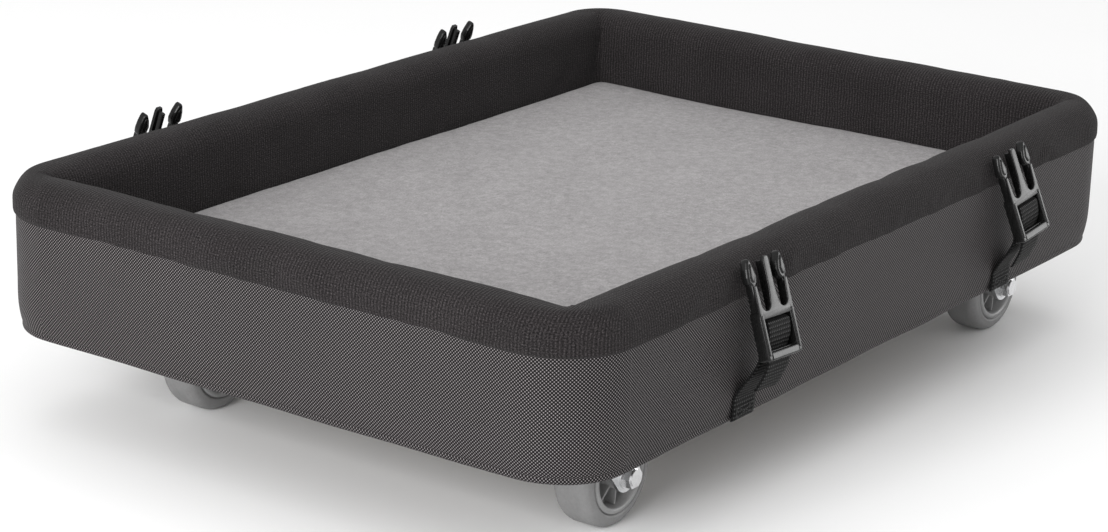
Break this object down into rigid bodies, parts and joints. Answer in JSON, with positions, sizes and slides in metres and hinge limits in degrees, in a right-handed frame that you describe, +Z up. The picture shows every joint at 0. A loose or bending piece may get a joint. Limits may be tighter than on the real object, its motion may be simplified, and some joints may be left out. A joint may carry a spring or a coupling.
{
  "type": "padded tray dolly",
  "caption": "Low fabric-covered tray with a thick soft rim and a felt floor, on swivel casters, with buckled straps on its long sides that hold a cabinet down.",
  "frame": {"origin": "on the floor, under the middle of the tray", "axes": "+X along the long side with the straps, +Y across to the other strap side, +Z up"},
  "size_m": [0.536, 0.4162, 0.1405],
  "materials": {
    "plywood": "plain birch plywood, sealed",
    "felt": "light grey needled felt",
    "knit": "fine charcoal knit over foam",
    "nylon": "charcoal woven nylon with a diagonal weave",
    "foam": "closed-cell foam board, hidden",
    "webbing": "black ribbed webbing",
    "buckle_plastic": "black moulded plastic, glossy",
    "zinc": "bright zinc plate on pressed steel",
    "steel": "bright zinc-plated fastener",
    "wheel_plastic": "grey moulded plastic",
    "tyre_rubber": "grey soft rubber, satin"
  },
  "bodies": {
    "tray": {"base_board": "plywood", "floor_mat": "felt", "wall_lining": "knit", "skirt_cover": "nylon", "wall_core_front": "foam", "wall_core_right": "foam", "wall_core_back": "foam", "wall_core_left": "foam", "rim_pad_front": "knit", "rim_pad_right": "knit", "rim_pad_back": "knit", "rim_pad_left": "knit", "skirt_hem_front": "nylon", "skirt_hem_right": "nylon", "skirt_hem_back": "nylon", "skirt_hem_left": "nylon", "strap_anchor_fl": "webbing", "strap_anchor_fr": "webbing", "strap_anchor_br": "webbing", "strap_anchor_bl": "webbing", "caster_plate_fl": "zinc", "caster_plate_fr": "zinc", "caster_plate_br": "zinc", "caster_plate_bl": "zinc", "caster_kingpin_fl": "steel", "caster_kingpin_fr": "steel", "caster_kingpin_br": "steel", "caster_kingpin_bl": "steel", "race_balls": "steel", "plate_bolts": "steel", "plate_nuts": "steel"},
    "strap_fl": {"strap_webbing_fl": "webbing", "buckle_fl": "buckle_plastic"},
    "fork_fl": {"caster_fork_fl": "zinc", "axle_bolt_fl": "steel", "axle_nut_fl": "steel"},
    "wheel_fl": {"wheel_core_fl": "wheel_plastic", "tyre_fl": "tyre_rubber"},
    "strap_fr": {"strap_webbing_fr": "webbing", "buckle_fr": "buckle_plastic"},
    "fork_fr": {"caster_fork_fr": "zinc", "axle_bolt_fr": "steel", "axle_nut_fr": "steel"},
    "wheel_fr": {"wheel_core_fr": "wheel_plastic", "tyre_fr": "tyre_rubber"},
    "strap_br": {"strap_webbing_br": "webbing", "buckle_br": "buckle_plastic"},
    "fork_br": {"caster_fork_br": "zinc", "axle_bolt_br": "steel", "axle_nut_br": "steel"},
    "wheel_br": {"wheel_core_br": "wheel_plastic", "tyre_br": "tyre_rubber"},
    "strap_bl": {"strap_webbing_bl": "webbing", "buckle_bl": "buckle_plastic"},
    "fork_bl": {"caster_fork_bl": "zinc", "axle_bolt_bl": "steel", "axle_nut_bl": "steel"},
    "wheel_bl": {"wheel_core_bl": "wheel_plastic", "tyre_bl": "tyre_rubber"}
  },
  "joints": [
    {"name": "swivel_fl", "type": "hinge", "parent": "tray", "child": "fork_fl", "pos_m": [-0.19, -0.138, 0.0655], "axis": [0, 0, 1], "continuous": true},
    {"name": "roll_fl", "type": "hinge", "parent": "fork_fl", "child": "wheel_fl", "pos_m": [-0.178, -0.138, 0.0275], "axis": [0, 1, 0], "continuous": true},
    {"name": "swing_fl", "type": "hinge", "parent": "tray", "child": "strap_fl", "pos_m": [-0.13, -0.1863, 0.061], "axis": [1, 0, 0], "range_deg": [0, 120]},
    {"name": "swivel_fr", "type": "hinge", "parent": "tray", "child": "fork_fr", "pos_m": [0.19, -0.138, 0.0655], "axis": [0, 0, 1], "continuous": true},
    {"name": "roll_fr", "type": "hinge", "parent": "fork_fr", "child": "wheel_fr", "pos_m": [0.202, -0.138, 0.0275], "axis": [0, 1, 0], "continuous": true},
    {"name": "swing_fr", "type": "hinge", "parent": "tray", "child": "strap_fr", "pos_m": [0.13, -0.1863, 0.061], "axis": [1, 0, 0], "range_deg": [0, 120]},
    {"name": "swivel_br", "type": "hinge", "parent": "tray", "child": "fork_br", "pos_m": [0.19, 0.113, 0.0655], "axis": [0, 0, 1], "continuous": true},
    {"name": "roll_br", "type": "hinge", "parent": "fork_br", "child": "wheel_br", "pos_m": [0.202, 0.113, 0.0275], "axis": [0, 1, 0], "continuous": true},
    {"name": "swing_br", "type": "hinge", "parent": "tray", "child": "strap_br", "pos_m": [0.13, 0.1863, 0.061], "axis": [-1, 0, 0], "range_deg": [0, 120]},
    {"name": "swivel_bl", "type": "hinge", "parent": "tray", "child": "fork_bl", "pos_m": [-0.19, 0.113, 0.0655], "axis": [0, 0, 1], "continuous": true},
    {"name": "roll_bl", "type": "hinge", "parent": "fork_bl", "child": "wheel_bl", "pos_m": [-0.178, 0.113, 0.0275], "axis": [0, 1, 0], "continuous": true},
    {"name": "swing_bl", "type": "hinge", "parent": "tray", "child": "strap_bl", "pos_m": [-0.13, 0.1863, 0.061], "axis": [-1, 0, 0], "range_deg": [0, 120]}
  ]
}
